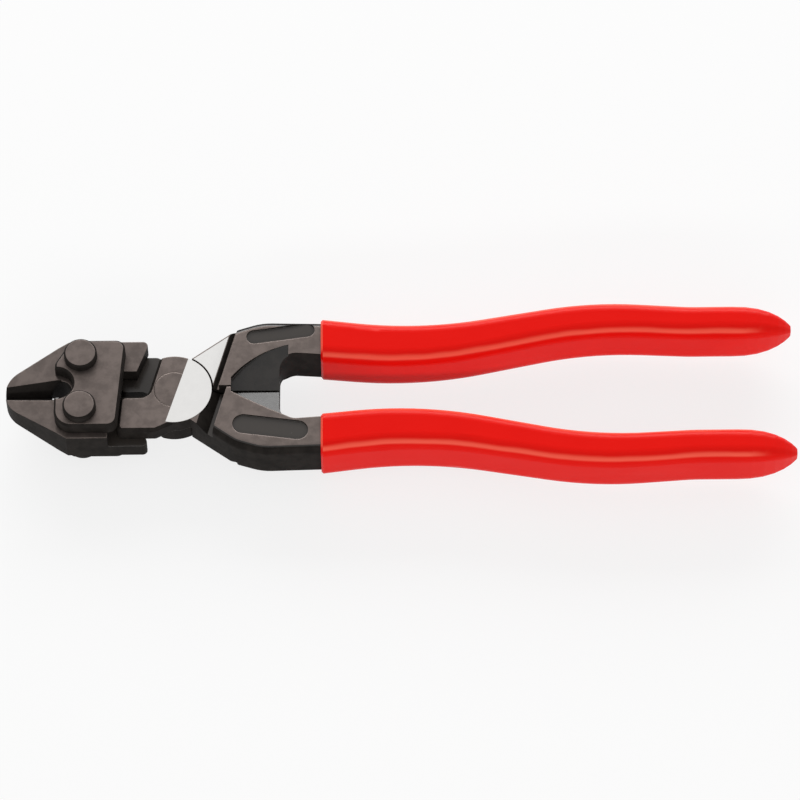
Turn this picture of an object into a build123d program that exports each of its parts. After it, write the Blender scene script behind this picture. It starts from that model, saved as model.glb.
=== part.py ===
"""Compact lever-action bolt cutters, lying flat, closed, with the head towards -X.

Two jaws turn on their own rivets between two link plates. The half-thickness tail of each jaw is
pinned to the arm of one handle lever, and the two levers lap at a flush main rivet, so closing
the levers drives the tails apart and the cutting edges together.

The tool is the same seen from its front and from its back: turning it half a turn about its long
axis swaps the upper jaw and lever with the lower ones. So each piece of a pair is modelled once,
for the lower half or for the upper half, and turned over to give the other.

The origin is under the middle of the tool, on the surface that it lies on.
"""

import os
from math import atan, cos, degrees, radians, sin, sqrt, tan

from build123d import *

# Whole tool
overall_length = 160.0
parting_gap = 0.1  # between the two cutting edges, and between the two knuckles, when closed

# Jaws
jaw_thickness = 7.0
head_width = 22.4
nose_radius = 5.5
cheek_angle = 33.0
jaw_tail_end = 29.2  # from the tip, along the tool
jaw_tail_rake = 2.6
jaw_tail_inner_offset = 4.3
jaw_tail_corner_radius = 1.0
jaw_lap_start = 20.9
tip_thickness = 4.4
blade_taper_end = 10.6
edge_bevel_angle = 35.0
edge_land = 0.3
wire_relief_from_tip = 11.4
wire_relief_radius = 2.1

# Link plates
plate_thickness = 3.0
plate_side_gap = 0.05
plate_front = 10.2
plate_rear_outer = 24.5
plate_rear_inner = 22.8
plate_width = 20.0
plate_front_radius = 3.6
plate_rear_radius = 2.0
plate_cut_length = 3.1  # one front corner is cut off along the cheek of the jaw under it
plate_lip_width = 1.2  # beside the notch, up to where that cut starts
plate_cut_radius = 1.2
plate_edge_chamfer = 0.4
plate_notch_from_tip = 10.5
plate_notch_radius = 3.4

# Jaw rivets
jaw_rivet_from_tip = 15.4
jaw_rivet_offset = 6.0
jaw_rivet_radius = 2.5
jaw_rivet_head_radius = 3.35
jaw_rivet_head_height = 1.8
jaw_rivet_head_chamfer = 0.35
running_clearance = 0.06
end_clearance = 0.2

# Main rivet and the laps of the two levers
main_rivet_from_tip = 34.2
main_rivet_radius = 3.0
main_rivet_head_radius = 4.0
main_rivet_head_depth = 1.0
lap_gap = 0.1
lap_radius = 7.7
lap_shoulder_gap = 0.3
arm_outer_offset = 9.5
arm_inner_offset = 1.45
arm_end_outer = 22.7
arm_end_inner = 23.3
arm_root = 30.6
arm_corner_radius = 1.2
lap_edge_chamfer = 0.6
lap_chamfer_end = 35.5  # the chamfer runs from the arm as far back as this
tail_notch_top = 31.6
tail_notch_bottom = 28.9
tail_notch_radius = 2.2
notch_rise = 1.0

# Tail pins, captive between a jaw tail and a lever arm
tail_pin_from_tip = 25.4
tail_pin_offset = 7.0
tail_pin_radius = 1.6
tail_pin_depth = 2.4  # into each of the two laps
tail_pin_clearance = 0.1

# Levers
handle_thickness = 9.4
handle_edge_round = 1.5
waist_from_tip = 37.0
waist_offset = 6.6
shoulder_from_tip = 46.4
shoulder_offset = 13.5
shoulder_radius = 9.0
neck_from_tip = 52.0
neck_offset = 15.3
neck_radius = 12.0
throat_from_tip = 55.6
throat_offset = 7.9
throat_radius = 3.4
grip_face_gap = 0.4  # between the two wire-gripping faces in the throat
step_slant = 15.5
own_step_from_tip = 45.0  # where the step on the lap side would cross the tool's axis
own_step_width = 3.8
own_step_groove = 1.8
far_step_from_tip = 43.3
far_step_width = 1.3
far_step_groove = 0.6
step_foot_share = 0.33  # share of a step's width that is the flat foot of its groove

# Wire-gripping bevels in the throat, on the lap side and on the far side of a lever
throat_bevel_angle = 14.0
throat_bevel_depth = 2.2
throat_bevel_start = 45.8
throat_bevel_length = 11.6
own_bevel_width_start = 1.8
own_bevel_width_middle = 4.9
own_bevel_width_end = 7.6
far_bevel_width_start = 2.6
far_bevel_width_middle = 7.6
far_bevel_width_end = 9.9

# Bare recessed panels in the neck, on the lap side and on the far side of a lever
panel_depth = 0.45
panel_turn = 8.0
own_panel_from_tip = 53.8
own_panel_offset = 9.6
own_panel_length = 15.4
own_panel_width = 4.4
far_panel_from_tip = 55.8
far_panel_offset = 12.2
far_panel_length = 14.0
far_panel_width = 3.2

# Dipped grips: the waist, the belly and the bend radii are shares of the grip's length
coat_thickness = 1.0
grip_front = 64.0
grip_front_centre = 11.05
grip_front_half_width = 4.9
grip_waist_share = 0.208
grip_waist_centre = 8.75
grip_waist_half_width = 4.6
grip_waist_bend = 0.89
grip_belly_share = 0.575
grip_belly_centre = 15.6
grip_belly_half_width = 3.9
grip_belly_bend = 0.82
grip_rear_straight = 9.0  # just before the nose the two sides run straight along the tool
grip_rear_centre = 14.4
grip_rear_half_width = 3.7
grip_rear_bend = 0.5
grip_edge_round = 2.7
grip_rim_chamfer = 0.4
tang_end_cover = 13.5  # plastic behind the end of the tang
tang_end_radius = 1.5
tang_edge_chamfer = 1.0

# Blunt noses of the grips, drawn down along a bullet-shaped profile
grip_nose_length = 12.0
nose_steps = 7
nose_fullness = 2.35
nose_bluntness = 0.7
nose_tip_share = 0.2  # of the full section, left at the very end

# Places worked out from the sizes above
tip_x = -overall_length / 2
half_gap = parting_gap / 2
half_jaw = jaw_thickness / 2
half_lap_gap = lap_gap / 2
half_handle = handle_thickness / 2
plate_inner_face = half_jaw + plate_side_gap
plate_outer_face = plate_inner_face + plate_thickness
rivet_top_face = plate_outer_face + jaw_rivet_head_height
mid_z = rivet_top_face
jaw_outer = head_width / 2
jaw_rivet_x = tip_x + jaw_rivet_from_tip
main_rivet_x = tip_x + main_rivet_from_tip
tail_pin_x = tip_x + tail_pin_from_tip
knuckle_radius = jaw_rivet_offset - half_gap
lap_thickness = half_jaw - half_lap_gap
main_rivet_head_angle = degrees(atan((main_rivet_head_radius - main_rivet_radius) / main_rivet_head_depth))
grip_thickness = handle_thickness + 2 * coat_thickness
grip_length = overall_length - grip_front
grip_front_x = tip_x + grip_front
grip_end_x = tip_x + overall_length
grip_nose_x = grip_end_x - grip_nose_length
tang_end_x = grip_end_x - tang_end_cover
far = overall_length  # a length past every face, for cuts that run out of the part
end_margin = 0.1  # tells the edges across an end from the long edges beside it

middle = Plane.XY.offset(mid_z)
turn_over = Axis((0, 0, mid_z), (1, 0, 0))


def turned_over(part):
    """The same piece on the other half of the tool."""
    return part.rotate(turn_over, 180)


def save(part, name):
    """Names a finished piece and writes it to its own file."""
    part.label = name
    export_step(part, os.path.join("parts", name + ".step"))
    print(f"{name}: {part.volume:.1f} mm3, {len(part.solids())} solid")


os.makedirs("parts", exist_ok=True)


# Upper jaw: a flat forging with the cutting edge on its inner side and a half-thickness tail
nose_centre_x = tip_x + nose_radius
nose_end = Vector(
    nose_centre_x - nose_radius * sin(radians(cheek_angle)), nose_radius * cos(radians(cheek_angle))
)
nose_start_x = nose_centre_x - sqrt(nose_radius**2 - half_gap**2)
cheek_end_x = nose_end.X + (jaw_outer - nose_end.Y) / tan(radians(cheek_angle))
tail_end_x = tip_x + jaw_tail_end
knuckle_rise = jaw_rivet_offset - jaw_tail_inner_offset
knuckle_end_x = jaw_rivet_x + sqrt(knuckle_radius**2 - knuckle_rise**2)
knuckle_mid = Vector(
    jaw_rivet_x + knuckle_radius * sin(radians(40)), jaw_rivet_offset - knuckle_radius * cos(radians(40))
)
nose_mid_angle = radians(90 + (90 + cheek_angle) / 2)
nose_mid = Vector(
    nose_centre_x + nose_radius * cos(nose_mid_angle), nose_radius * sin(nose_mid_angle)
)

with BuildPart() as upper_jaw:
    with BuildSketch(middle.offset(-half_jaw)):
        with BuildLine():
            ThreePointArc((nose_start_x, half_gap), nose_mid, nose_end)
            Line(nose_end, (cheek_end_x, jaw_outer))
            Line((cheek_end_x, jaw_outer), (tail_end_x, jaw_outer))
            Line((tail_end_x, jaw_outer), (tail_end_x - jaw_tail_rake, jaw_tail_inner_offset))
            Line(
                (tail_end_x - jaw_tail_rake, jaw_tail_inner_offset),
                (knuckle_end_x, jaw_tail_inner_offset),
            )
            ThreePointArc(
                (knuckle_end_x, jaw_tail_inner_offset), knuckle_mid, (jaw_rivet_x, half_gap)
            )
            Line((jaw_rivet_x, half_gap), (nose_start_x, half_gap))
        make_face()
        with Locations((tip_x + wire_relief_from_tip, 0)):
            Circle(wire_relief_radius, mode=Mode.SUBTRACT)
    extrude(amount=jaw_thickness)
    tail_corners = upper_jaw.edges().filter_by(Axis.Z).group_by(Axis.X)[-1]
    fillet(tail_corners, jaw_tail_corner_radius)

    # the blade thins towards the tip on both faces
    with BuildSketch(Plane.XZ.offset(-far)):
        for side in (1, -1):
            with BuildLine():
                Polyline(
                    (tip_x, mid_z + side * tip_thickness / 2),
                    (tip_x + blade_taper_end, mid_z + side * half_jaw),
                    (tip_x + blade_taper_end, mid_z + side * far),
                    (tip_x - far, mid_z + side * far),
                    (tip_x - far, mid_z + side * tip_thickness / 2),
                    close=True,
                )
            make_face()
    extrude(amount=far * 2, mode=Mode.SUBTRACT)

    # the cutting edge is ground from both faces, as far back as the wire relief
    edge_rise = far * tan(radians(edge_bevel_angle))
    with BuildSketch(Plane.YZ.offset(tip_x + wire_relief_from_tip)):
        for side in (1, -1):
            with BuildLine():
                Polyline(
                    (half_gap, mid_z + side * edge_land / 2),
                    (half_gap + edge_rise, mid_z + side * (edge_land / 2 + far)),
                    (half_gap - edge_rise, mid_z + side * (edge_land / 2 + far)),
                    (half_gap - edge_rise, mid_z + side * edge_land / 2),
                    close=True,
                )
            make_face()
    extrude(amount=-far, mode=Mode.SUBTRACT)

    # the tail keeps only its front half, to lap over the arm of the upper lever
    with BuildSketch(middle.offset(half_lap_gap)):
        with Locations((tip_x + jaw_lap_start, jaw_outer)):
            Rectangle(far, far, align=(Align.MIN, Align.CENTER))
    extrude(amount=-far, mode=Mode.SUBTRACT)

    # bores for the jaw rivet and for the captive tail pin
    with BuildSketch(middle.offset(-half_jaw)):
        with Locations((jaw_rivet_x, jaw_rivet_offset)):
            Circle(jaw_rivet_radius + running_clearance)
    extrude(amount=jaw_thickness, mode=Mode.SUBTRACT)
    with BuildSketch(middle):
        with Locations((tail_pin_x, tail_pin_offset)):
            Circle(tail_pin_radius + tail_pin_clearance)
    extrude(amount=tail_pin_depth + end_clearance, mode=Mode.SUBTRACT)

save(upper_jaw.part, "upper_jaw")

# Lower jaw: the same forging turned over
with BuildPart() as lower_jaw:
    add(turned_over(upper_jaw.part))
save(lower_jaw.part, "lower_jaw")

# Front link plate: notched round the wire relief, cut along one cheek, raked at the rear
with BuildPart() as front_link_plate:
    with BuildSketch(middle.offset(plate_inner_face)):
        with BuildLine():
            FilletPolyline(
                (tip_x + plate_front, -plate_width / 2),
                (tip_x + plate_rear_inner, -plate_width / 2),
                (tip_x + plate_rear_outer, plate_width / 2),
                (tip_x + plate_front + plate_cut_length, plate_width / 2),
                (tip_x + plate_front, plate_notch_radius + plate_lip_width),
                radius=[
                    plate_front_radius,
                    plate_rear_radius,
                    plate_rear_radius,
                    plate_cut_radius,
                    plate_cut_radius,
                ],
                close=True,
            )
        make_face()
        with Locations((tip_x + plate_notch_from_tip, 0)):
            Circle(plate_notch_radius, mode=Mode.SUBTRACT)
        with Locations((jaw_rivet_x, jaw_rivet_offset), (jaw_rivet_x, -jaw_rivet_offset)):
            Circle(jaw_rivet_radius, mode=Mode.SUBTRACT)
    extrude(amount=plate_thickness)
    plate_rim = front_link_plate.faces().sort_by(Axis.Z)[-1].outer_wire().edges()
    chamfer(plate_rim, plate_edge_chamfer)
save(front_link_plate.part, "front_link_plate")

# Back link plate: the same plate turned over
with BuildPart() as back_link_plate:
    add(turned_over(front_link_plate.part))
save(back_link_plate.part, "back_link_plate")

# Upper jaw rivet: a plain shank with a flat, rounded head on each plate
with BuildPart() as upper_jaw_rivet:
    with BuildSketch(middle.offset(-plate_outer_face)):
        with Locations((jaw_rivet_x, jaw_rivet_offset)):
            Circle(jaw_rivet_radius)
    extrude(amount=2 * plate_outer_face)
    for face, reach in ((plate_outer_face, 1), (-plate_outer_face, -1)):
        with BuildSketch(middle.offset(face)):
            with Locations((jaw_rivet_x, jaw_rivet_offset)):
                Circle(jaw_rivet_head_radius)
        extrude(amount=reach * jaw_rivet_head_height)
    head_rims = upper_jaw_rivet.edges().filter_by(GeomType.CIRCLE).group_by(Axis.Z)
    chamfer(head_rims[0] + head_rims[-1], jaw_rivet_head_chamfer)
save(upper_jaw_rivet.part, "upper_jaw_rivet")

# Lower jaw rivet: the same rivet turned over
with BuildPart() as lower_jaw_rivet:
    add(turned_over(upper_jaw_rivet.part))
save(lower_jaw_rivet.part, "lower_jaw_rivet")

# Outline of the lower grip seen from the front, and of the tang that the coat is dipped on
grip_waist_x = grip_front_x + grip_waist_share * grip_length
grip_belly_x = grip_front_x + grip_belly_share * grip_length
grip_rear_x = grip_nose_x - grip_rear_straight
grip_stations = (
    (grip_waist_x, grip_waist_centre, grip_waist_half_width, grip_waist_bend * grip_length),
    (grip_belly_x, grip_belly_centre, grip_belly_half_width, grip_belly_bend * grip_length),
    (grip_rear_x, grip_rear_centre, grip_rear_half_width, grip_rear_bend * grip_length),
)
grip_front_outer = -grip_front_centre - grip_front_half_width
grip_front_inner = -grip_front_centre + grip_front_half_width

with BuildSketch() as grip_outline:
    with BuildLine():
        Polyline(
            (grip_front_x, grip_front_inner),
            (grip_front_x, grip_front_outer),
            *[(x, -centre - half_width) for x, centre, half_width, radius in grip_stations],
            (grip_nose_x, -grip_rear_centre - grip_rear_half_width),
            (grip_nose_x, -grip_rear_centre + grip_rear_half_width),
            *[(x, half_width - centre) for x, centre, half_width, radius in reversed(grip_stations)],
            close=True,
        )
    make_face()
    for x, centre, half_width, radius in grip_stations:
        for side in (1, -1):
            corner = (x, side * half_width - centre, 0)
            fillet(grip_outline.vertices().sort_by_distance(corner)[0], radius)

with BuildSketch() as tang_outline:
    add(grip_outline.sketch)
    offset(amount=-coat_thickness)
    with Locations((tang_end_x, -grip_rear_centre)):
        Rectangle(far, far, align=(Align.MIN, Align.CENTER), mode=Mode.SUBTRACT)
    fillet(tang_outline.vertices().group_by(Axis.X)[-1], tang_end_radius)

with BuildPart() as tang:
    with BuildSketch(middle.offset(-half_handle)):
        add(tang_outline.sketch)
    extrude(amount=handle_thickness)
    tang_edges = tang.faces().filter_by(Axis.Z).edges()
    chamfer(tang_edges - tang_edges.group_by(Axis.X)[0], tang_edge_chamfer)

# Outline of the lower lever in front of its grip, with the wire-gripping face on its inner side
steel_front_outer = grip_front_centre + grip_front_half_width - coat_thickness
steel_front_inner = grip_front_centre - grip_front_half_width + coat_thickness
half_grip_gap = grip_face_gap / 2
neck_end_x = grip_front_x + 2 * coat_thickness  # inside the grip, past the start of the tang

with BuildSketch() as lever_outline:
    with BuildLine():
        Polyline(
            (tip_x + waist_from_tip, -waist_offset),
            (tip_x + shoulder_from_tip, -shoulder_offset),
            (tip_x + neck_from_tip, -neck_offset),
            (neck_end_x, -steel_front_outer),
            (neck_end_x, -steel_front_inner),
            (tip_x + throat_from_tip, -throat_offset),
            (tip_x + throat_from_tip, -half_grip_gap),
            (tip_x + waist_from_tip, -half_grip_gap),
            close=True,
        )
    make_face()
    for place, offset_out, radius in (
        (shoulder_from_tip, shoulder_offset, shoulder_radius),
        (neck_from_tip, neck_offset, neck_radius),
        (throat_from_tip, throat_offset, throat_radius),
    ):
        corner = (tip_x + place, -offset_out, 0)
        fillet(lever_outline.vertices().sort_by_distance(corner)[0], radius)

# Lower lever: a full-thickness forging with a half-thickness lap on its front
slant = radians(step_slant)

with BuildPart() as lower_handle:
    with BuildSketch(middle.offset(-half_handle)):
        add(lever_outline.sketch)
    extrude(amount=handle_thickness)
    outer_edges = lower_handle.faces().filter_by(Axis.Z).edges()
    outer_edges = outer_edges.filter_by(lambda e: e.center().Y < -throat_offset - handle_edge_round / 2)
    outer_edges = outer_edges.filter_by(lambda e: e.center().X < neck_end_x - end_margin)
    fillet(outer_edges, handle_edge_round)
    add(tang.part)

    # both faces step down to the level of the laps along a slanted line, with a groove at its foot
    for side, place, width, groove in (
        (1, own_step_from_tip, own_step_width, own_step_groove),
        (-1, far_step_from_tip, far_step_width, far_step_groove),
    ):
        step_plane = Plane(
            origin=(tip_x + place, 0, mid_z),
            x_dir=(cos(slant), -side * sin(slant), 0),
            z_dir=(-side * sin(slant), -cos(slant), 0),
        )
        with BuildSketch(step_plane):
            with BuildLine():
                Polyline(
                    (0, side * far),
                    (0, side * (half_jaw - groove)),
                    (-width * step_foot_share, side * (half_jaw - groove)),
                    (-width, side * half_jaw),
                    (-far, side * half_jaw),
                    (-far, side * far),
                    close=True,
                )
            make_face()
        extrude(amount=far, both=True, mode=Mode.SUBTRACT)

    # both faces slope down to the wire-gripping face in the throat
    for side, width_start, width_middle, width_end in (
        (1, own_bevel_width_start, own_bevel_width_middle, own_bevel_width_end),
        (-1, far_bevel_width_start, far_bevel_width_middle, far_bevel_width_end),
    ):
        bevel_plane = Plane(
            origin=(tip_x + throat_bevel_start, 0, mid_z + side * throat_bevel_depth),
            x_dir=(1, 0, 0),
            z_dir=(0, sin(radians(throat_bevel_angle)), side * cos(radians(throat_bevel_angle))),
        )
        with BuildSketch(bevel_plane):
            with BuildLine():
                ThreePointArc(
                    (0, -side * width_start),
                    (throat_bevel_length / 2, -side * width_middle),
                    (throat_bevel_length, -side * width_end),
                )
                Polyline(
                    (throat_bevel_length, -side * width_end),
                    (throat_bevel_length, side * far),
                    (0, side * far),
                    (0, -side * width_start),
                )
            make_face()
        extrude(amount=far, mode=Mode.SUBTRACT)

    # shallow bare panel in each face of the neck
    for side, place, offset_out, length, width in (
        (1, own_panel_from_tip, own_panel_offset, own_panel_length, own_panel_width),
        (-1, far_panel_from_tip, far_panel_offset, far_panel_length, far_panel_width),
    ):
        with BuildSketch(middle.offset(side * half_handle)):
            with Locations((tip_x + place, -offset_out)):
                SlotOverall(length, width, rotation=-panel_turn)
        extrude(amount=-side * panel_depth, mode=Mode.SUBTRACT)

    # the back is cleared for the lap of the other lever
    with BuildSketch(middle.offset(half_lap_gap)):
        with Locations((main_rivet_x, 0)):
            Circle(lap_radius + lap_shoulder_gap)
    extrude(amount=-far, mode=Mode.SUBTRACT)

    # lap disc with the arm to the jaw tail, notched for the tail of the other jaw
    with BuildSketch(middle.offset(half_lap_gap)) as lap_outline:
        with Locations((main_rivet_x, 0)):
            Circle(lap_radius)
        with BuildLine():
            Polyline(
                (main_rivet_x, -arm_inner_offset),
                (tip_x + arm_end_inner, -arm_inner_offset),
                (tip_x + arm_end_outer, -arm_outer_offset),
                (tip_x + arm_root, -arm_outer_offset),
                (main_rivet_x, -lap_radius),
                close=True,
            )
        make_face()
        with BuildLine():
            Polyline(
                (tip_x + tail_notch_top, lap_radius + notch_rise),
                (tip_x + tail_notch_bottom, -arm_inner_offset),
                (main_rivet_x - far, -arm_inner_offset),
                (main_rivet_x - far, lap_radius + notch_rise),
                close=True,
            )
        make_face(mode=Mode.SUBTRACT)
        notch_corner = (tip_x + tail_notch_bottom, -arm_inner_offset, 0)
        fillet(lap_outline.vertices().sort_by_distance(notch_corner)[0], tail_notch_radius)
        for corner in (
            (tip_x + arm_end_inner, -arm_inner_offset, 0),
            (tip_x + arm_end_outer, -arm_outer_offset, 0),
            (tip_x + arm_root, -arm_outer_offset, 0),
        ):
            fillet(lap_outline.vertices().sort_by_distance(corner)[0], arm_corner_radius)
    extrude(amount=lap_thickness)
    lap_faces = lower_handle.faces().filter_by(Axis.Z)
    lap_faces = lap_faces.filter_by(lambda f: abs(f.center().Z - mid_z - half_jaw) < half_lap_gap)
    lap_edges = lap_faces.edges().filter_by(lambda e: e.center().X < tip_x + lap_chamfer_end)
    chamfer(lap_edges, lap_edge_chamfer)

    # bores for the main rivet, with a countersink for its flush head, and for the tail pin
    with BuildSketch(middle):
        with Locations((main_rivet_x, 0)):
            Circle(main_rivet_radius + running_clearance)
    extrude(amount=half_handle, mode=Mode.SUBTRACT)
    with BuildSketch(middle.offset(half_jaw)):
        with Locations((main_rivet_x, 0)):
            Circle(main_rivet_head_radius + running_clearance)
    extrude(amount=-main_rivet_head_depth, taper=main_rivet_head_angle, mode=Mode.SUBTRACT)
    with BuildSketch(middle):
        with Locations((tail_pin_x, -tail_pin_offset)):
            Circle(tail_pin_radius)
    extrude(amount=tail_pin_depth, mode=Mode.SUBTRACT)
save(lower_handle.part, "lower_handle")

# Upper lever: the same forging turned over
with BuildPart() as upper_handle:
    add(turned_over(lower_handle.part))
save(upper_handle.part, "upper_handle")

# Main pivot rivet: ground flush with the outer face of each lap
with BuildPart() as main_pivot_rivet:
    with BuildSketch(middle.offset(-half_jaw)):
        with Locations((main_rivet_x, 0)):
            Circle(main_rivet_radius)
    extrude(amount=jaw_thickness)
    for side in (1, -1):
        with BuildSketch(middle.offset(side * half_jaw)):
            with Locations((main_rivet_x, 0)):
                Circle(main_rivet_head_radius)
        extrude(amount=-side * main_rivet_head_depth, taper=main_rivet_head_angle)
save(main_pivot_rivet.part, "main_pivot_rivet")

# Lower tail pin: a dowel held between the lower arm and the lower jaw tail
with BuildPart() as lower_tail_pin:
    with BuildSketch(middle.offset(-tail_pin_depth)):
        with Locations((tail_pin_x, -tail_pin_offset)):
            Circle(tail_pin_radius)
    extrude(amount=2 * tail_pin_depth)
save(lower_tail_pin.part, "lower_tail_pin")

# Upper tail pin: the same dowel turned over
with BuildPart() as upper_tail_pin:
    add(turned_over(lower_tail_pin.part))
save(upper_tail_pin.part, "upper_tail_pin")

# Lower grip: a plastic coat dipped over the tang, closed at its rear end
with BuildPart() as lower_grip:
    with BuildSketch(middle.offset(-grip_thickness / 2)):
        add(grip_outline.sketch)
    extrude(amount=grip_thickness)
    long_edges = lower_grip.faces().filter_by(Axis.Z).edges()
    long_edges = long_edges.filter_by(
        lambda e: grip_front_x + end_margin < e.center().X < grip_nose_x - end_margin
    )
    fillet(long_edges, grip_edge_round)
    chamfer(lower_grip.faces().sort_by(Axis.X)[0].edges(), grip_rim_chamfer)

    # the rear end is drawn down to a blunt nose
    drawn_down = 1 - nose_tip_share ** (1 / nose_bluntness)
    for step in range(nose_steps + 1):
        along = sin(radians(90 * step / nose_steps))
        share = (1 - drawn_down * along**nose_fullness) ** nose_bluntness
        with BuildSketch(Plane.YZ.offset(grip_nose_x + along * grip_nose_length)):
            with Locations((-grip_rear_centre, mid_z)):
                RectangleRounded(
                    share * 2 * grip_rear_half_width, share * grip_thickness, share * grip_edge_round
                )
    loft(ruled=True)
    add(lower_handle.part, mode=Mode.SUBTRACT)
save(lower_grip.part, "lower_grip")

# Upper grip: the same coat on the other lever
with BuildPart() as upper_grip:
    add(turned_over(lower_grip.part))
save(upper_grip.part, "upper_grip")
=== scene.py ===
"""Finishes, bare name panel and studio for the compact bolt cutters.

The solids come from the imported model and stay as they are. This script gives the forged steel, the
rivets and the dipped grips their finishes, paints the bare panel across the lap, and sets the tool
on a pale table under soft light.
"""

from math import cos, radians, sin, tan

import bpy
from mathutils import Matrix, Vector


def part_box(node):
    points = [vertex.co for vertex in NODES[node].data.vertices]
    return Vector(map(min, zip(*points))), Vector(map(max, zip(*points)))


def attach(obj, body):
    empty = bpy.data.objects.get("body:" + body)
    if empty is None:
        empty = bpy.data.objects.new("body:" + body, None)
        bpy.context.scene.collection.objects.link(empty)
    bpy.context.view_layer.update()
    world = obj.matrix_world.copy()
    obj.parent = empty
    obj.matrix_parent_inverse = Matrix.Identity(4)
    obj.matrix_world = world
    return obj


bl_info = {
    "name": "Compact bolt cutters",
    "version": (1, 0, 0),
    "blender": (4, 5, 0),
    "location": "View3D > Sidebar > Bolt cutters",
    "description": "Finishes, bare name panel and studio for a pair of compact bolt cutters",
    "category": "Object",
}

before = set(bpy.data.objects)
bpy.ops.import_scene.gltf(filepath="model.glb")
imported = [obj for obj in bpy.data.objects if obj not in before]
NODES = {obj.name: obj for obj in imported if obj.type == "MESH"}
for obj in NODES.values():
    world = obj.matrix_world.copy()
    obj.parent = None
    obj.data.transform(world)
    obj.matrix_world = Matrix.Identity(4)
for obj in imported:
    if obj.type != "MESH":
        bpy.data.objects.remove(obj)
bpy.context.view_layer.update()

MM = 0.001
TIP_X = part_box("lower_jaw")[0][0]
RIVET_LOW, RIVET_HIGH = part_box("main_pivot_rivet")
PIVOT_X = (RIVET_LOW[0] + RIVET_HIGH[0]) / 2
MIDDLE_Z = (RIVET_LOW[2] + RIVET_HIGH[2]) / 2
LAP_FACE_Z = RIVET_HIGH[2]
LAP_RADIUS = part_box("lower_handle")[1][1]
GRIP_END_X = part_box("lower_grip")[1][0]

JAW_NODES = ("upper_jaw", "lower_jaw")
LEVER_NODES = ("upper_handle", "lower_handle")
PLATE_NODES = ("front_link_plate", "back_link_plate")
RIVET_NODES = (
    "upper_jaw_rivet", "lower_jaw_rivet", "main_pivot_rivet", "upper_tail_pin", "lower_tail_pin",
)
GRIP_NODES = ("upper_grip", "lower_grip")

# Steel: each finish has its pieces, its lightness beside the levers and the scale of its grain
STEEL_FINISHES = {
    "jaw_steel": (JAW_NODES, 0.85, 1500.0),
    "lever_steel": (LEVER_NODES, 1.0, 1300.0),
    "plate_steel": (PLATE_NODES, 0.96, 1400.0),
    "rivet_steel": (RIVET_NODES, 0.94, 1700.0),
}
GROUND_LEVEL = (0.974, 0.986)  # how level a face is, where it turns from black to ground
BEVEL_LEVEL = (0.90, 0.95)  # and where it turns from rough scale to a smooth bevel
RECESS_BLEND = 0.1 * MM
PANEL_MARGIN = (0.08 * MM, 0.12 * MM)
BLOTCH_SCALE = 420.0
BLOTCH_RANGE = (0.34, 0.66)
DARK_BLOTCH = 0.84
LIGHT_BLOTCH = 1.14
DARK_SCALE = 0.6
# Rubbed wear and painted highlight: the rims of the ground faces are made lighter
RUBBED_AND_HIGHLIT_RANGE = (0.02, 0.20)  # how far the softened normal leaves the face's own, at a rubbed edge
ROUGHNESS_SPECKLE = 0.14
GROUND_METAL = 0.8
WALL_GLOSS = 0.04
BEVEL_GLOSS = 0.40
GRAIN_STRENGTH = 0.12
GRAIN_DEPTH = 0.06 * MM

# Grips: the pale line is a painted highlight along the ridges, laid where the coat is neither level nor
# upright
CLOUD_SCALE = 90.0
CLOUD_DRIFT = 0.16
RIDGE_HIGHLIGHT_OUTSIDE = (0.52, 0.70)
RIDGE_HIGHLIGHT_INSIDE = (0.76, 0.92)
RIDGE_HIGHLIGHT_FADE = (GRIP_END_X - 11 * MM, GRIP_END_X - 5 * MM)
SKIN_SCALE = 900.0
SKIN_STRENGTH = 0.05
SKIN_DEPTH = 0.05 * MM
WAVE_STRENGTH = 0.35
WAVE_DEPTH = 0.5 * MM
GRIP_GLOSS = 0.10
GRIP_TINT = (1.0, 0.70, 0.58, 1.0)

# Bare panel
SHEET_SIZE = 40 * MM
SHEET_X = PIVOT_X + 5 * MM
CUTTER_SIDES = 160
CUTTER_DEPTH = 4 * MM
LEFT_LEAN = 1.09  # the left edge leans this much more than the right one
SHOULDER_GAP = 0.3 * MM  # between the round of the lap and the shoulder
SHOULDER_LOW_Y = 0.6 * MM
SHOULDER_EDGE = (TIP_X + 45.4 * MM, 12.4 * MM, 0)  # a point on the slanted outer edge
SHOULDER_SLANT = radians(36.3)
WORN_PAINT = 0.90
PAINT_ROUGHNESS = 0.5

# Studio
TABLE_SIZE = 12.0
TABLE_ROUGHNESS = 0.9
BACK_SOFTBOX = {"place": (0.0, 1.08, 0.52), "width": 1.6, "height": 0.50}
FRONT_STRIP = {"place": (0.0, -0.85, 0.42), "width": 1.4, "height": 0.10}
CAMERA_AIM = (0.0, -1.0 * MM, MIDDLE_Z)
SENSOR_WIDTH = 36.0
NEAREST_SEEN = 0.05


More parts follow.
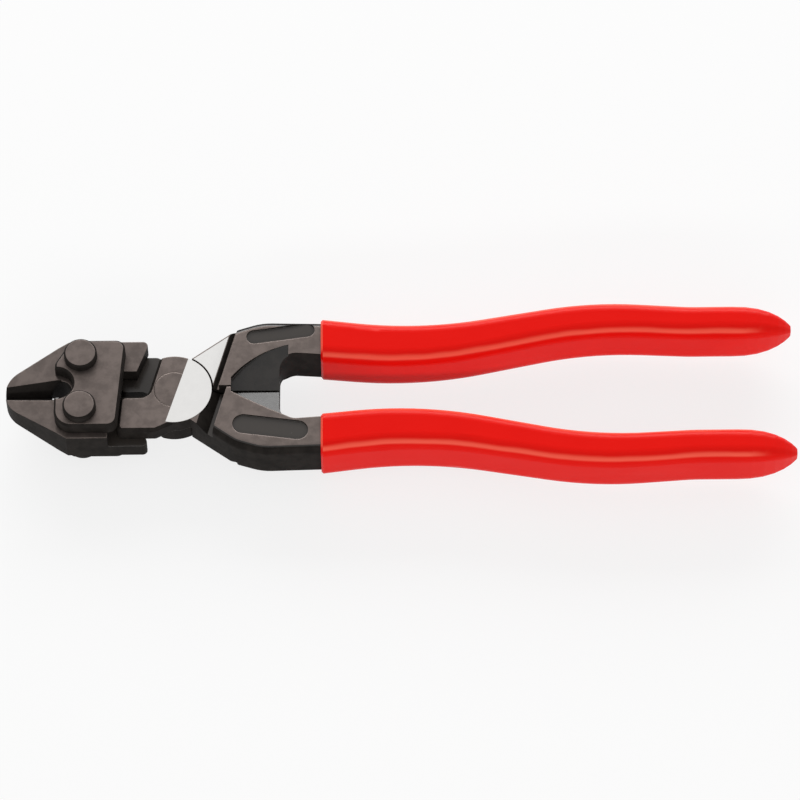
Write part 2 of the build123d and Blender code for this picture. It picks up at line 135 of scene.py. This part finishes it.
class SteelFinish(bpy.types.PropertyGroup):
    """Finish of the forged steel: ground faces on a black forging."""

    ground_colour: bpy.props.FloatVectorProperty(
        name="Ground face", description="Colour of the ground flat faces", subtype="COLOR",
        size=4, min=0.0, max=1.0, default=(0.118, 0.096, 0.087, 1.0),
    )
    scale_colour: bpy.props.FloatVectorProperty(
        name="Forging scale", description="Colour of the black sides and recesses", subtype="COLOR",
        size=4, min=0.0, max=1.0, default=(0.020, 0.017, 0.015, 1.0),
    )
    # Level faces that are not ground take this colour; on the recess floors near the middle it is
    # painted shade over the black scale
    recess_colour: bpy.props.FloatVectorProperty(
        name="Recesses", description="Colour of the level floors of the recesses", subtype="COLOR",
        size=4, min=0.0, max=1.0, default=(0.037, 0.031, 0.027, 1.0),
    )
    # Rubbed wear and painted highlight: how much lighter the rims of the ground faces are
    worn_and_highlit_edge: bpy.props.FloatProperty(
        name="Worn edges", description="How much lighter the rubbed edges of the ground faces are",
        min=1.0, max=3.0, default=1.7,
    )
    ground_roughness: bpy.props.FloatProperty(
        name="Ground roughness", description="Roughness of the ground faces", subtype="FACTOR",
        min=0.0, max=1.0, default=0.42,
    )
    scale_roughness: bpy.props.FloatProperty(
        name="Scale roughness", description="Roughness of the black scale", subtype="FACTOR",
        min=0.0, max=1.0, default=0.55,
    )
    edge_softness: bpy.props.FloatProperty(
        name="Edge softness", description="Radius that the forged edges catch the light with",
        subtype="DISTANCE", unit="LENGTH", default=0.30 * MM,
    )
    bevel_roughness: bpy.props.FloatProperty(
        name="Bevel roughness", description="Roughness of the smooth black bevels in the throat",
        subtype="FACTOR", min=0.0, max=1.0, default=0.24,
    )
    # Painted shade: level faces within this height of the middle are kept dark, for the shade in the
    # hollows
    recess_height: bpy.props.FloatProperty(
        name="Recess height", description="Faces nearer the middle of the tool than this stay black",
        subtype="DISTANCE", unit="LENGTH", default=2.0 * MM,
    )
    panel_height: bpy.props.FloatProperty(
        name="Neck panel height", description="Height of the black neck panels above the middle",
        subtype="DISTANCE", unit="LENGTH", default=4.25 * MM,
    )


class GripFinish(bpy.types.PropertyGroup):
    """Finish of the dipped plastic on the tangs."""

    colour: bpy.props.FloatVectorProperty(
        name="Plastic", description="Colour of the dipped coat", subtype="COLOR",
        size=4, min=0.0, max=1.0, default=(0.825, 0.008, 0.005, 1.0),
    )
    shade_colour: bpy.props.FloatVectorProperty(
        name="Dark plastic", description="Colour of the darker clouds in the coat", subtype="COLOR",
        size=4, min=0.0, max=1.0, default=(0.765, 0.006, 0.004, 1.0),
    )
    # Painted highlight: colour of the pale line along the ridges of the coat
    ridge_highlight_colour: bpy.props.FloatVectorProperty(
        name="Ridge", description="Colour of the pale line along the ridges",
        subtype="COLOR", size=4, min=0.0, max=1.0, default=(0.960, 0.100, 0.062, 1.0),
    )
    roughness: bpy.props.FloatProperty(
        name="Roughness", description="Roughness of the dipped coat", subtype="FACTOR",
        min=0.0, max=1.0, default=0.27,
    )


class PanelPaint(bpy.types.PropertyGroup):
    """The bare painted panel that slants across the lap and the shoulder beside it."""

    colour: bpy.props.FloatVectorProperty(
        name="Paint", description="Colour of the bare panel", subtype="COLOR",
        size=4, min=0.0, max=1.0, default=(0.800, 0.790, 0.775, 1.0),
    )
    thickness: bpy.props.FloatProperty(
        name="Thickness", description="Thickness of the paint", subtype="DISTANCE",
        unit="LENGTH", default=0.06 * MM,
    )
    left_at_axis: bpy.props.FloatProperty(
        name="Left edge", description="Where the left edge crosses the tool's axis, from the tip",
        subtype="DISTANCE", unit="LENGTH", default=34.9 * MM,
    )
    lap_right_at_axis: bpy.props.FloatProperty(
        name="Right edge on the lap", description="Where that edge crosses the axis, from the tip",
        subtype="DISTANCE", unit="LENGTH", default=42.4 * MM,
    )
    shoulder_right_at_axis: bpy.props.FloatProperty(
        name="Right edge on the shoulder", description="Where that edge crosses the axis, from the tip",
        subtype="DISTANCE", unit="LENGTH", default=41.8 * MM,
    )
    slant: bpy.props.FloatProperty(
        name="Slant", description="How far the panel leans from straight across the tool",
        subtype="ANGLE", unit="ROTATION", default=radians(15.5),
    )
    seam: bpy.props.FloatProperty(
        name="Seam", description="Bare margin on each side of the joint between lap and shoulder",
        subtype="DISTANCE", unit="LENGTH", default=0.04 * MM,
    )


class StudioSetup(bpy.types.PropertyGroup):
    """Table, lamps and camera."""

    table_colour: bpy.props.FloatVectorProperty(
        name="Table", description="Colour of the table", subtype="COLOR",
        size=4, min=0.0, max=1.0, default=(0.97, 0.97, 0.97, 1.0),
    )
    shadow_fade: bpy.props.FloatProperty(
        name="Shadow fade", description="How much of the shadow on the table is lost in its glow",
        subtype="FACTOR", min=0.0, max=1.0, default=0.80,
    )
    sky: bpy.props.FloatProperty(
        name="Sky", description="Strength of the even light from all round", default=0.50,
    )
    back_power: bpy.props.FloatProperty(
        name="Back softbox", description="Power of the lamp behind the tool, in watts", default=15.0,
    )
    front_power: bpy.props.FloatProperty(
        name="Front strip", description="Power of the strip lamp in front, in watts", default=3.5,
    )
    distance: bpy.props.FloatProperty(
        name="Distance", description="From the tool to the camera", subtype="DISTANCE",
        unit="LENGTH", default=1.0,
    )
    elevation: bpy.props.FloatProperty(
        name="Elevation", description="Height of the camera above the table", subtype="ANGLE",
        unit="ROTATION", default=radians(60.0),
    )
    roll: bpy.props.FloatProperty(
        name="Roll", description="How far the camera leans to its right", subtype="ANGLE",
        unit="ROTATION", default=radians(-0.55),
    )
    lens: bpy.props.FloatProperty(
        name="Lens", description="Focal length in millimetres", default=221.6,
    )


def deselect_all():
    """Leaves object mode with nothing selected."""
    if bpy.context.object and bpy.context.object.mode != "OBJECT":
        bpy.ops.object.mode_set(mode="OBJECT")
    bpy.ops.object.select_all(action="DESELECT")


def new_material(name):
    """An empty node material with a principled shader; returns material, tree and shader."""
    material = bpy.data.materials.new(name)
    material.use_nodes = True
    tree = material.node_tree
    return material, tree, tree.nodes["Principled BSDF"]


def add_node(tree, kind, inputs=None, **settings):
    """Adds a node, sets its properties, and links or sets its inputs."""
    node = tree.nodes.new(kind)
    for key, value in settings.items():
        setattr(node, key, value)
    for key, value in (inputs or {}).items():
        if isinstance(value, bpy.types.NodeSocket):
            tree.links.new(value, node.inputs[key])
        else:
            node.inputs[key].default_value = value
    return node


def math_node(tree, operation, *values):
    """One arithmetic step on sockets or numbers."""
    node = add_node(tree, "ShaderNodeMath", dict(enumerate(values)), operation=operation)
    return node.outputs[0]


def ramp_between(tree, value, low, high):
    """0 below low, 1 above high, and smooth between them."""
    node = add_node(
        tree, "ShaderNodeMapRange",
        {"Value": value, "From Min": low, "From Max": high},
        interpolation_type="SMOOTHSTEP",
    )
    return node.outputs["Result"]


def mix_colour(tree, factor, first, second):
    """Blends two colours or colour sockets."""
    node = add_node(
        tree, "ShaderNodeMix", {"Factor": factor, 6: first, 7: second}, data_type="RGBA"
    )
    return node.outputs[2]


def give(nodes, material):
    """Puts one finish on several pieces."""
    for name in nodes:
        NODES[name].data.materials.clear()
        NODES[name].data.materials.append(material)


def forged_steel(name, settings, lightness, grain_scale):
    """Ground flat faces over black scale, told apart by their slope and their height, with painted
    shade on the recess floors and rubbed wear with painted highlight on the rims.
    """
    material, tree, shader = new_material(name)
    place = add_node(tree, "ShaderNodeTexCoord")
    position = add_node(tree, "ShaderNodeSeparateXYZ", {0: place.outputs["Object"]})
    slope = add_node(tree, "ShaderNodeSeparateXYZ", {0: place.outputs["Normal"]})
    level = math_node(tree, "ABSOLUTE", slope.outputs["Z"])
    flat = ramp_between(tree, level, *GROUND_LEVEL)
    smooth = ramp_between(tree, level, *BEVEL_LEVEL)
    height = math_node(tree, "ABSOLUTE", math_node(tree, "SUBTRACT", position.outputs["Z"], MIDDLE_Z))
    raised = ramp_between(tree, height, settings.recess_height - RECESS_BLEND, settings.recess_height)
    from_panel = math_node(tree, "ABSOLUTE", math_node(tree, "SUBTRACT", height, settings.panel_height))
    outside_panel = ramp_between(tree, from_panel, *PANEL_MARGIN)
    ground = math_node(tree, "MULTIPLY", math_node(tree, "MULTIPLY", flat, raised), outside_panel)

    grain = add_node(
        tree, "ShaderNodeTexNoise",
        {"Vector": place.outputs["Object"], "Scale": grain_scale, "Detail": 6.0, "Roughness": 0.62},
    )
    cloud = add_node(
        tree, "ShaderNodeTexNoise",
        {"Vector": place.outputs["Object"], "Scale": BLOTCH_SCALE, "Detail": 5.0, "Roughness": 0.6},
    )
    blotch = ramp_between(tree, cloud.outputs["Fac"], *BLOTCH_RANGE)
    soft_edges = add_node(tree, "ShaderNodeBevel", {"Radius": settings.edge_softness}, samples=6)
    surface = add_node(tree, "ShaderNodeNewGeometry")
    agreement = add_node(
        tree, "ShaderNodeVectorMath",
        {0: soft_edges.outputs["Normal"], 1: surface.outputs["Normal"]}, operation="DOT_PRODUCT",
    )
    departure = math_node(tree, "SUBTRACT", 1.0, agreement.outputs["Value"])
    # Rubbed wear and painted highlight: edges where the softened normal leaves the face's own are
    # painted lighter
    rubbed_and_highlit = ramp_between(tree, departure, *RUBBED_AND_HIGHLIT_RANGE)

    def ground_shade(share):
        return tuple(min(1.0, c * lightness * share) for c in settings.ground_colour[:3]) + (1.0,)

    face = mix_colour(tree, blotch, ground_shade(DARK_BLOTCH), ground_shade(LIGHT_BLOTCH))
    face = mix_colour(tree, rubbed_and_highlit, face, ground_shade(settings.worn_and_highlit_edge))
    scale_dark = tuple(c * DARK_SCALE for c in settings.scale_colour[:3]) + (1.0,)
    scale = mix_colour(tree, blotch, scale_dark, tuple(settings.scale_colour))
    # Level faces that are not ground take the recess colour: painted shade on the floors of the
    # recesses
    scale = mix_colour(tree, flat, scale, tuple(settings.recess_colour))
    tree.links.new(mix_colour(tree, ground, scale, face), shader.inputs["Base Color"])

    black = add_node(
        tree, "ShaderNodeMapRange",
        {"Value": smooth, "To Min": settings.scale_roughness, "To Max": settings.bevel_roughness},
    )
    finish = add_node(
        tree, "ShaderNodeMapRange",
        {"Value": ground, "To Min": black.outputs["Result"], "To Max": settings.ground_roughness},
    )
    off_middle = math_node(tree, "SUBTRACT", grain.outputs["Fac"], 0.5)
    speckle = math_node(tree, "MULTIPLY", off_middle, ROUGHNESS_SPECKLE)
    rough = math_node(tree, "ADD", finish.outputs["Result"], speckle)
    tree.links.new(rough, shader.inputs["Roughness"])
    tree.links.new(math_node(tree, "MULTIPLY", ground, GROUND_METAL), shader.inputs["Metallic"])
    gloss = add_node(
        tree, "ShaderNodeMapRange", {"Value": smooth, "To Min": WALL_GLOSS, "To Max": BEVEL_GLOSS}
    )
    # The export drops the link and keeps this
    shader.inputs["Specular IOR Level"].default_value = WALL_GLOSS
    tree.links.new(gloss.outputs["Result"], shader.inputs["Specular IOR Level"])
    bump = add_node(
        tree, "ShaderNodeBump",
        {
            "Height": grain.outputs["Fac"], "Strength": GRAIN_STRENGTH, "Distance": GRAIN_DEPTH,
            "Normal": soft_edges.outputs["Normal"],
        },
    )
    tree.links.new(bump.outputs["Normal"], shader.inputs["Normal"])
    return material


class BOLTCUTTERS_OT_steel(bpy.types.Operator):
    """Give the jaws, plates, levers and rivets their dark steel finish"""

    bl_idname = "boltcutters.steel"
    bl_label = "Finish the steel"

    def execute(self, context):
        settings = context.scene.boltcutters_steel
        for name, (nodes, lightness, grain_scale) in STEEL_FINISHES.items():
            give(nodes, forged_steel(name, settings, lightness, grain_scale))
        return {"FINISHED"}


class BOLTCUTTERS_OT_grips(bpy.types.Operator):
    """Give the grips their smooth dipped plastic"""

    bl_idname = "boltcutters.grips"
    bl_label = "Finish the grips"

    def execute(self, context):
        settings = context.scene.boltcutters_grips
        material, tree, shader = new_material("dipped_plastic")
        place = add_node(tree, "ShaderNodeTexCoord")
        cloud = add_node(
            tree, "ShaderNodeTexNoise",
            {"Vector": place.outputs["Object"], "Scale": CLOUD_SCALE, "Detail": 2.0},
        )
        colour = mix_colour(
            tree, cloud.outputs["Fac"], tuple(settings.shade_colour), tuple(settings.colour)
        )
        # Painted highlight: a pale line on the ridges, where the coat is neither level nor upright,
        # faded out at the nose
        slope = add_node(tree, "ShaderNodeSeparateXYZ", {0: place.outputs["Normal"]})
        off_middle = math_node(tree, "SUBTRACT", cloud.outputs["Fac"], 0.5)
        drift = math_node(tree, "MULTIPLY", off_middle, CLOUD_DRIFT)
        level = math_node(tree, "ADD", math_node(tree, "ABSOLUTE", slope.outputs["Z"]), drift)
        above = ramp_between(tree, level, *RIDGE_HIGHLIGHT_OUTSIDE)
        below = math_node(tree, "SUBTRACT", 1.0, ramp_between(tree, level, *RIDGE_HIGHLIGHT_INSIDE))
        position = add_node(tree, "ShaderNodeSeparateXYZ", {0: place.outputs["Object"]})
        nose = ramp_between(tree, position.outputs["X"], *RIDGE_HIGHLIGHT_FADE)
        sleeve = math_node(tree, "SUBTRACT", 1.0, nose)
        ridge_highlight = math_node(tree, "MULTIPLY", math_node(tree, "MULTIPLY", above, below), sleeve)
        colour = mix_colour(tree, ridge_highlight, colour, tuple(settings.ridge_highlight_colour))
        tree.links.new(colour, shader.inputs["Base Color"])
        skin = add_node(
            tree, "ShaderNodeTexNoise",
            {"Vector": place.outputs["Object"], "Scale": SKIN_SCALE, "Detail": 2.0},
        )
        bump = add_node(
            tree, "ShaderNodeBump",
            {"Height": skin.outputs["Fac"], "Strength": SKIN_STRENGTH, "Distance": SKIN_DEPTH},
        )
        waves = add_node(
            tree, "ShaderNodeBump",
            {
                "Height": cloud.outputs["Fac"], "Strength": WAVE_STRENGTH, "Distance": WAVE_DEPTH,
                "Normal": bump.outputs["Normal"],
            },
        )
        tree.links.new(waves.outputs["Normal"], shader.inputs["Normal"])
        shader.inputs["Roughness"].default_value = settings.roughness
        shader.inputs["Specular IOR Level"].default_value = GRIP_GLOSS
        shader.inputs["Specular Tint"].default_value = GRIP_TINT
        give(GRIP_NODES, material)
        return {"FINISHED"}


def paint_sheet(name, settings, cuts):
    """A thin sheet of paint on the lap face: a plane trimmed by straight cuts, then thickened."""
    deselect_all()
    bpy.ops.mesh.primitive_plane_add(size=SHEET_SIZE, location=(SHEET_X, 0.0, LAP_FACE_Z))
    sheet = bpy.context.object
    sheet.name = name
    bpy.ops.object.transform_apply(location=True, rotation=True, scale=True)
    bpy.ops.object.mode_set(mode="EDIT")
    for point, outward in cuts:
        bpy.ops.mesh.select_all(action="SELECT")
        bpy.ops.mesh.bisect(plane_co=point, plane_no=outward, clear_outer=True)
    bpy.ops.mesh.select_all(action="SELECT")
    bpy.ops.mesh.extrude_region_move(TRANSFORM_OT_translate={"value": (0, 0, settings.thickness)})
    bpy.ops.mesh.select_all(action="SELECT")
    bpy.ops.mesh.normals_make_consistent(inside=False)
    bpy.ops.object.mode_set(mode="OBJECT")
    return sheet


def trim_round(sheet, radius, keep_inside):
    """Trims a sheet to the inside or the outside of a circle about the main rivet."""
    deselect_all()
    bpy.ops.mesh.primitive_cylinder_add(
        vertices=CUTTER_SIDES, radius=radius, depth=CUTTER_DEPTH,
        location=(PIVOT_X, 0.0, LAP_FACE_Z),
    )
    cutter = bpy.context.object
    deselect_all()
    sheet.select_set(True)
    bpy.context.view_layer.objects.active = sheet
    trim = sheet.modifiers.new("trim", "BOOLEAN")
    trim.operation = "INTERSECT" if keep_inside else "DIFFERENCE"
    trim.solver = "EXACT"
    trim.object = cutter
    bpy.ops.object.modifier_apply(modifier=trim.name)
    deselect_all()
    cutter.select_set(True)
    bpy.ops.object.delete()


class BOLTCUTTERS_OT_name_panel(bpy.types.Operator):
    """Paint the bare panel on the lap and on the shoulder beside it"""

    bl_idname = "boltcutters.name_panel"
    bl_label = "Paint the bare panel"

    def execute(self, context):
        settings = context.scene.boltcutters_panel
        lean = tan(settings.slant)
        left = ((TIP_X + settings.left_at_axis, 0, 0), (-1, LEFT_LEAN * lean, 0))
        lap_right = ((TIP_X + settings.lap_right_at_axis, 0, 0), (1, -lean, 0))
        shoulder_right = ((TIP_X + settings.shoulder_right_at_axis, 0, 0), (1, -lean, 0))

        on_lap = paint_sheet("lap_panel", settings, [left, lap_right])
        trim_round(on_lap, LAP_RADIUS - settings.seam, keep_inside=True)
        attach(on_lap, "lower_lever")

        outline = (SHOULDER_EDGE, (-sin(SHOULDER_SLANT), cos(SHOULDER_SLANT), 0))
        above_axis = ((0, SHOULDER_LOW_Y, 0), (0, -1, 0))
        on_shoulder = paint_sheet(
            "shoulder_panel", settings, [left, shoulder_right, outline, above_axis]
        )
        trim_round(on_shoulder, LAP_RADIUS + SHOULDER_GAP + settings.seam, keep_inside=False)
        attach(on_shoulder, "upper_lever")

        material, tree, shader = new_material("panel_paint")
        place = add_node(tree, "ShaderNodeTexCoord")
        cloud = add_node(
            tree, "ShaderNodeTexNoise",
            {"Vector": place.outputs["Object"], "Scale": BLOTCH_SCALE, "Detail": 5.0},
        )
        worn = tuple(c * WORN_PAINT for c in settings.colour[:3]) + (1.0,)
        colour = mix_colour(tree, cloud.outputs["Fac"], worn, tuple(settings.colour))
        tree.links.new(colour, shader.inputs["Base Color"])
        shader.inputs["Roughness"].default_value = PAINT_ROUGHNESS
        for sheet in (on_lap, on_shoulder):
            sheet.data.materials.append(material)
        return {"FINISHED"}


def seen_rays(tree):
    """1 for rays that show the table or the sky, directly or in a reflection, and 0 for the rest."""
    path = add_node(tree, "ShaderNodeLightPath")
    direct = math_node(tree, "MAXIMUM", path.outputs["Is Camera Ray"], path.outputs["Is Glossy Ray"])
    return math_node(tree, "MAXIMUM", direct, path.outputs["Is Transmission Ray"])


def add_softbox(name, power, place, width, height):
    """A rectangular lamp at a place, facing the tool."""
    deselect_all()
    bpy.ops.object.light_add(type="AREA", location=place)
    lamp = bpy.context.object
    lamp.name = name
    lamp.data.shape = "RECTANGLE"
    lamp.data.size = width
    lamp.data.size_y = height
    lamp.data.energy = power
    lamp.rotation_euler = (-Vector(place)).to_track_quat("-Z", "Y").to_euler()


class BOLTCUTTERS_OT_studio(bpy.types.Operator):
    """Set up the table, the lamps and the camera"""

    bl_idname = "boltcutters.studio"
    bl_label = "Set up the studio"

    def execute(self, context):
        settings = context.scene.boltcutters_studio
        scene = context.scene
        scene.view_settings.view_transform = "Standard"

        deselect_all()
        bpy.ops.mesh.primitive_plane_add(size=TABLE_SIZE, location=(0, 0, 0))
        table = bpy.context.object
        table.name = "table"
        material, tree, shader = new_material("pale_table")
        shader.inputs["Base Color"].default_value = settings.table_colour
        shader.inputs["Roughness"].default_value = TABLE_ROUGHNESS
        shader.inputs["Specular IOR Level"].default_value = 0.0
        glow = add_node(tree, "ShaderNodeEmission", {"Color": settings.table_colour, "Strength": 1.0})
        share = math_node(tree, "MULTIPLY", seen_rays(tree), settings.shadow_fade)
        top = add_node(
            tree, "ShaderNodeMixShader",
            {0: share, 1: shader.outputs["BSDF"], 2: glow.outputs["Emission"]},
        )
        tree.links.new(top.outputs["Shader"], tree.nodes["Material Output"].inputs["Surface"])
        table.data.materials.append(material)

        world = bpy.data.worlds.new("studio")
        scene.world = world
        world.use_nodes = True
        background = world.node_tree.nodes["Background"]
        background.inputs["Color"].default_value = (1.0, 1.0, 1.0, 1.0)
        strength = add_node(
            world.node_tree, "ShaderNodeMapRange",
            {"Value": seen_rays(world.node_tree), "To Min": settings.sky, "To Max": 1.0},
        )
        world.node_tree.links.new(strength.outputs["Result"], background.inputs["Strength"])

        add_softbox("back_softbox", settings.back_power, **BACK_SOFTBOX)
        add_softbox("front_strip", settings.front_power, **FRONT_STRIP)

        aim = Vector(CAMERA_AIM)
        back = Vector((0.0, -cos(settings.elevation), sin(settings.elevation)))
        deselect_all()
        bpy.ops.object.camera_add(location=aim + settings.distance * back)
        camera = bpy.context.object
        camera.data.lens = settings.lens
        camera.data.sensor_width = SENSOR_WIDTH
        camera.data.clip_start = NEAREST_SEEN
        turn = back.to_track_quat("Z", "Y").to_matrix() @ Matrix.Rotation(settings.roll, 3, "Z")
        camera.rotation_euler = turn.to_euler()
        scene.camera = camera
        return {"FINISHED"}


class BOLTCUTTERS_PT_sidebar(bpy.types.Panel):
    """Lists the finishes and the steps of the bolt cutters"""

    bl_idname = "BOLTCUTTERS_PT_sidebar"
    bl_label = "Bolt cutters"
    bl_space_type = "VIEW_3D"
    bl_region_type = "UI"
    bl_category = "Bolt cutters"

    def draw(self, context):
        layout = self.layout
        for operator, group in STEPS:
            box = layout.box()
            box.operator(operator.bl_idname)
            settings = getattr(context.scene, group)
            for key in settings.__annotations__:
                box.prop(settings, key)


STEPS = (
    (BOLTCUTTERS_OT_steel, "boltcutters_steel"),
    (BOLTCUTTERS_OT_grips, "boltcutters_grips"),
    (BOLTCUTTERS_OT_name_panel, "boltcutters_panel"),
    (BOLTCUTTERS_OT_studio, "boltcutters_studio"),
)
GROUPS = {
    "boltcutters_steel": SteelFinish,
    "boltcutters_grips": GripFinish,
    "boltcutters_panel": PanelPaint,
    "boltcutters_studio": StudioSetup,
}
CLASSES = (*GROUPS.values(), *(operator for operator, group in STEPS), BOLTCUTTERS_PT_sidebar)


def register():
    """Registers the classes and hangs the settings on the scene."""
    for cls in CLASSES:
        bpy.utils.register_class(cls)
    for key, group in GROUPS.items():
        setattr(bpy.types.Scene, key, bpy.props.PointerProperty(type=group))


def unregister():
    """Takes the settings off the scene and unregisters the classes."""
    for key in GROUPS:
        delattr(bpy.types.Scene, key)
    for cls in reversed(CLASSES):
        bpy.utils.unregister_class(cls)


def main():
    """Builds the whole scene."""
    register()
    bpy.ops.boltcutters.steel()
    bpy.ops.boltcutters.grips()
    bpy.ops.boltcutters.name_panel()
    bpy.ops.boltcutters.studio()


if __name__ == "__main__":
    main()
